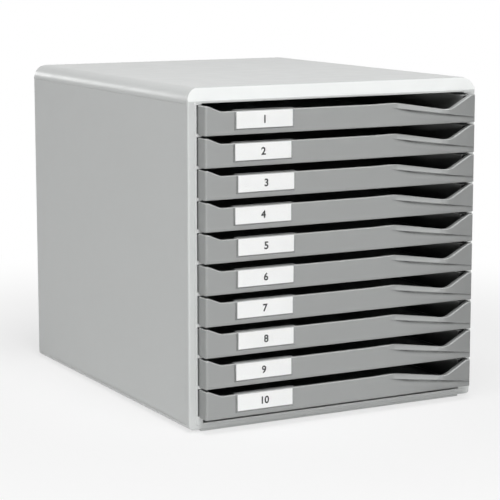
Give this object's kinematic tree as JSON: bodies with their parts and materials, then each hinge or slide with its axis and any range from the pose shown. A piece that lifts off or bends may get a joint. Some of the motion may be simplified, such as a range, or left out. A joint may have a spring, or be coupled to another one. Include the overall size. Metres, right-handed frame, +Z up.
{
  "type": "desktop drawer organizer",
  "caption": "Desktop organizer: rounded light grey housing with shallow sliding paper drawers, wave-shaped fronts with finger grips and clipped label holders.",
  "frame": {"origin": "on the table, at the middle of the whole footprint", "axes": "+Z up, -Y out of the drawer fronts, +X to the right of someone facing the drawers"},
  "size_m": [0.285, 0.3514, 0.29],
  "materials": {
    "housing_plastic": "fine matt moulded grain, light grey",
    "drawer_plastic": "fine matt moulded grain, mid grey",
    "clear_plastic": "clear gloss moulding",
    "card_paper": "smooth white card",
    "rubber": "dull black rubber"
  },
  "bodies": {
    "housing": {"front_frame": "housing_plastic", "top_cover": "housing_plastic", "left_side_panel": "housing_plastic", "right_side_panel": "housing_plastic", "bottom_panel": "housing_plastic", "back_panel": "housing_plastic", "rubber_foot_1": "rubber", "rubber_foot_2": "rubber", "rubber_foot_3": "rubber", "rubber_foot_4": "rubber"},
    "drawer_unit_01": {"drawer_01": "drawer_plastic", "label_holder_01": "clear_plastic", "label_card_01": "card_paper"},
    "drawer_unit_02": {"drawer_02": "drawer_plastic", "label_holder_02": "clear_plastic", "label_card_02": "card_paper"},
    "drawer_unit_03": {"drawer_03": "drawer_plastic", "label_holder_03": "clear_plastic", "label_card_03": "card_paper"},
    "drawer_unit_04": {"drawer_04": "drawer_plastic", "label_holder_04": "clear_plastic", "label_card_04": "card_paper"},
    "drawer_unit_05": {"drawer_05": "drawer_plastic", "label_holder_05": "clear_plastic", "label_card_05": "card_paper"},
    "drawer_unit_06": {"drawer_06": "drawer_plastic", "label_holder_06": "clear_plastic", "label_card_06": "card_paper"},
    "drawer_unit_07": {"drawer_07": "drawer_plastic", "label_holder_07": "clear_plastic", "label_card_07": "card_paper"},
    "drawer_unit_08": {"drawer_08": "drawer_plastic", "label_holder_08": "clear_plastic", "label_card_08": "card_paper"},
    "drawer_unit_09": {"drawer_09": "drawer_plastic", "label_holder_09": "clear_plastic", "label_card_09": "card_paper"},
    "drawer_unit_10": {"drawer_10": "drawer_plastic", "label_holder_10": "clear_plastic", "label_card_10": "card_paper"}
  },
  "joints": [
    {"name": "drawer_01_slide", "type": "slide", "parent": "housing", "child": "drawer_unit_01", "axis": [0, -1, 0], "range_m": [0, 0.26]},
    {"name": "drawer_02_slide", "type": "slide", "parent": "housing", "child": "drawer_unit_02", "axis": [0, -1, 0], "range_m": [0, 0.26]},
    {"name": "drawer_03_slide", "type": "slide", "parent": "housing", "child": "drawer_unit_03", "axis": [0, -1, 0], "range_m": [0, 0.26]},
    {"name": "drawer_04_slide", "type": "slide", "parent": "housing", "child": "drawer_unit_04", "axis": [0, -1, 0], "range_m": [0, 0.26]},
    {"name": "drawer_05_slide", "type": "slide", "parent": "housing", "child": "drawer_unit_05", "axis": [0, -1, 0], "range_m": [0, 0.26]},
    {"name": "drawer_06_slide", "type": "slide", "parent": "housing", "child": "drawer_unit_06", "axis": [0, -1, 0], "range_m": [0, 0.26]},
    {"name": "drawer_07_slide", "type": "slide", "parent": "housing", "child": "drawer_unit_07", "axis": [0, -1, 0], "range_m": [0, 0.26]},
    {"name": "drawer_08_slide", "type": "slide", "parent": "housing", "child": "drawer_unit_08", "axis": [0, -1, 0], "range_m": [0, 0.26]},
    {"name": "drawer_09_slide", "type": "slide", "parent": "housing", "child": "drawer_unit_09", "axis": [0, -1, 0], "range_m": [0, 0.26]},
    {"name": "drawer_10_slide", "type": "slide", "parent": "housing", "child": "drawer_unit_10", "axis": [0, -1, 0], "range_m": [0, 0.26]}
  ]
}
